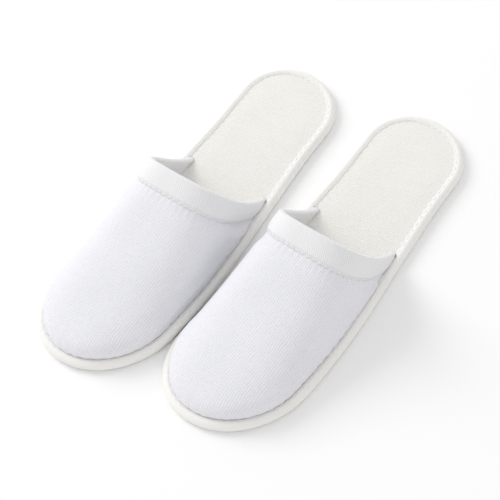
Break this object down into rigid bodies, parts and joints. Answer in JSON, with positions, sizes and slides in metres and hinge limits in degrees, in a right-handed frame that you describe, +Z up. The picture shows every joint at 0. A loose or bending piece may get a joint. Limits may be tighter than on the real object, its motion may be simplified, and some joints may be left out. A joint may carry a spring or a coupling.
{
  "type": "spa slippers",
  "caption": "Closed-toe spa slippers with a towelling upper, turned throat hem, knit-covered padded insole, folded edge binding and flat foam sole.",
  "frame": {"origin": "middle of the pair's footprint, on the floor", "axes": "+Z up, +Y towards the heels, toes along -Y, +X from the right-foot slipper to the left-foot slipper"},
  "size_m": [0.1939, 0.3028, 0.0667],
  "materials": {
    "foam_sole": "matt closed-cell foam",
    "insole_board": "matt board",
    "insole_foam": "soft open-cell foam",
    "insole_knit": "fine ribbed knit",
    "binding_knit": "folded knitted tape",
    "thread": "twisted sewing thread",
    "upper_towelling": "ribbed velour towelling",
    "wadding": "soft wadding",
    "lining": "smooth brushed lining"
  },
  "bodies": {
    "right_forefoot": {"right_outsole_front": "foam_sole", "right_insole_board_front": "insole_board", "right_insole_padding_front": "insole_foam", "right_insole_cover_front": "insole_knit", "right_edge_binding_front": "binding_knit", "right_binding_stitches_front": "thread", "right_upper_towelling": "upper_towelling", "right_upper_wadding": "wadding", "right_upper_lining": "lining", "right_throat_hem": "upper_towelling", "right_hem_stitches": "thread"},
    "right_heel": {"right_outsole_heel": "foam_sole", "right_insole_board_heel": "insole_board", "right_insole_padding_heel": "insole_foam", "right_insole_cover_heel": "insole_knit", "right_edge_binding_heel": "binding_knit", "right_binding_stitches_heel": "thread"},
    "left_forefoot": {"left_outsole_front": "foam_sole", "left_insole_board_front": "insole_board", "left_insole_padding_front": "insole_foam", "left_insole_cover_front": "insole_knit", "left_edge_binding_front": "binding_knit", "left_binding_stitches_front": "thread", "left_upper_towelling": "upper_towelling", "left_upper_wadding": "wadding", "left_upper_lining": "lining", "left_throat_hem": "upper_towelling", "left_hem_stitches": "thread"},
    "left_heel": {"left_outsole_heel": "foam_sole", "left_insole_board_heel": "insole_board", "left_insole_padding_heel": "insole_foam", "left_insole_cover_heel": "insole_knit", "left_edge_binding_heel": "binding_knit", "left_binding_stitches_heel": "thread"}
  },
  "joints": [
    {"name": "right_sole_flex", "type": "hinge", "parent": "right_forefoot", "child": "right_heel", "pos_m": [-0.05416, 0.04061, 0.0074], "axis": [1, 0, 0], "range_deg": [0, 50], "stiffness_Nm_per_rad": 0.05},
    {"name": "left_sole_flex", "type": "hinge", "parent": "left_forefoot", "child": "left_heel", "pos_m": [0.04548, 0.05341, 0.0074], "axis": [0.9999, -0.0157, 0], "range_deg": [0, 50], "stiffness_Nm_per_rad": 0.05},
    {"name": "left_lift_off", "type": "slide", "parent": "right_forefoot", "child": "left_forefoot", "axis": [0, 0, 1], "range_m": [0, 0.15]}
  ]
}
